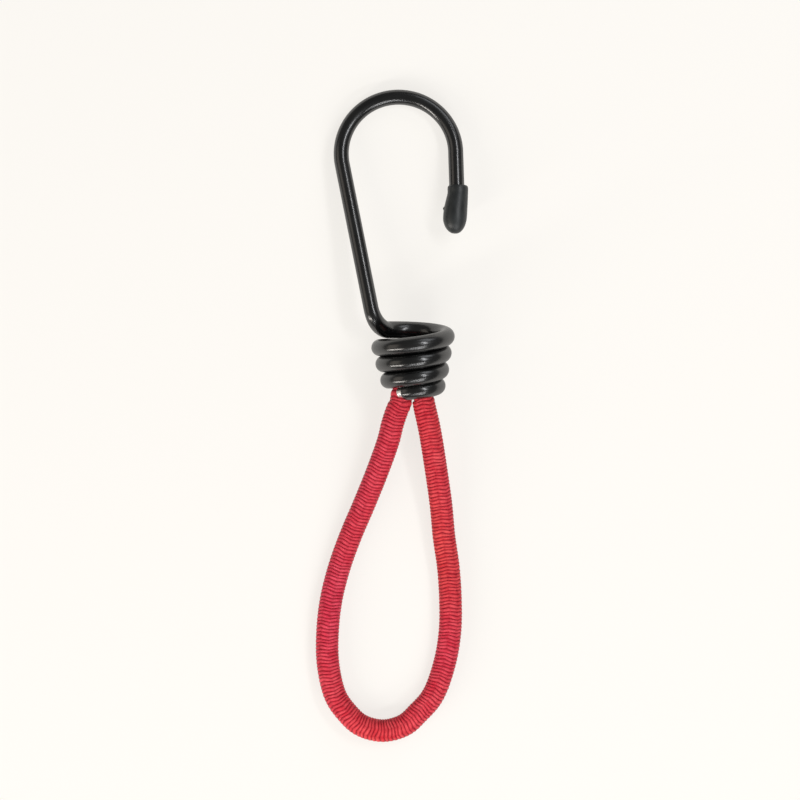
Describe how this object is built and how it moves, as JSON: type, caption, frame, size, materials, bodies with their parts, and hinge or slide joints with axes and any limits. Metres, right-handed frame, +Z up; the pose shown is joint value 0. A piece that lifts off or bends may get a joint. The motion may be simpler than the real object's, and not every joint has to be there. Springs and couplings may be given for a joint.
{
  "type": "bungee cord",
  "caption": "Short elastic loop of braided cord held in the tapering coil of a coated wire hook with a rubber tip cap.",
  "frame": {"origin": "under the middle of the wire hook, on the surface that the cord and hook lie on", "axes": "+Y from the coil towards the hook's crown, +Z up out of the surface, +X to the side of the capped tip"},
  "size_m": [0.035, 0.1503, 0.019],
  "materials": {
    "wire_steel": "bare cut steel wire",
    "black_coating": "glossy black plastic skin",
    "cap_rubber": "matte dark grey rubber",
    "clip_steel": "plain pressed steel band",
    "red_braid": "braided crimson polyester",
    "core_rubber": "pale natural rubber strands"
  },
  "bodies": {
    "hook": {"wire_core": "wire_steel", "wire_coating": "black_coating", "tip_cap": "cap_rubber", "end_clip": "clip_steel", "sheath_end_left": "red_braid", "sheath_end_right": "red_braid", "rubber_end_left": "core_rubber", "rubber_end_right": "core_rubber", "sheath_leg_left": "red_braid", "rubber_leg_left": "core_rubber", "sheath_leg_right": "red_braid", "rubber_leg_right": "core_rubber"},
    "loop_end": {"sheath_loop": "red_braid", "rubber_loop": "core_rubber"}
  },
  "joints": [
    {"name": "stretch", "type": "slide", "parent": "hook", "child": "loop_end", "axis": [-0.0923, -0.9957, 0], "range_m": [0, 0.06], "stiffness_N_per_m": 1500, "deforming": ["sheath_leg_left", "rubber_leg_left", "sheath_leg_right", "rubber_leg_right"]}
  ]
}
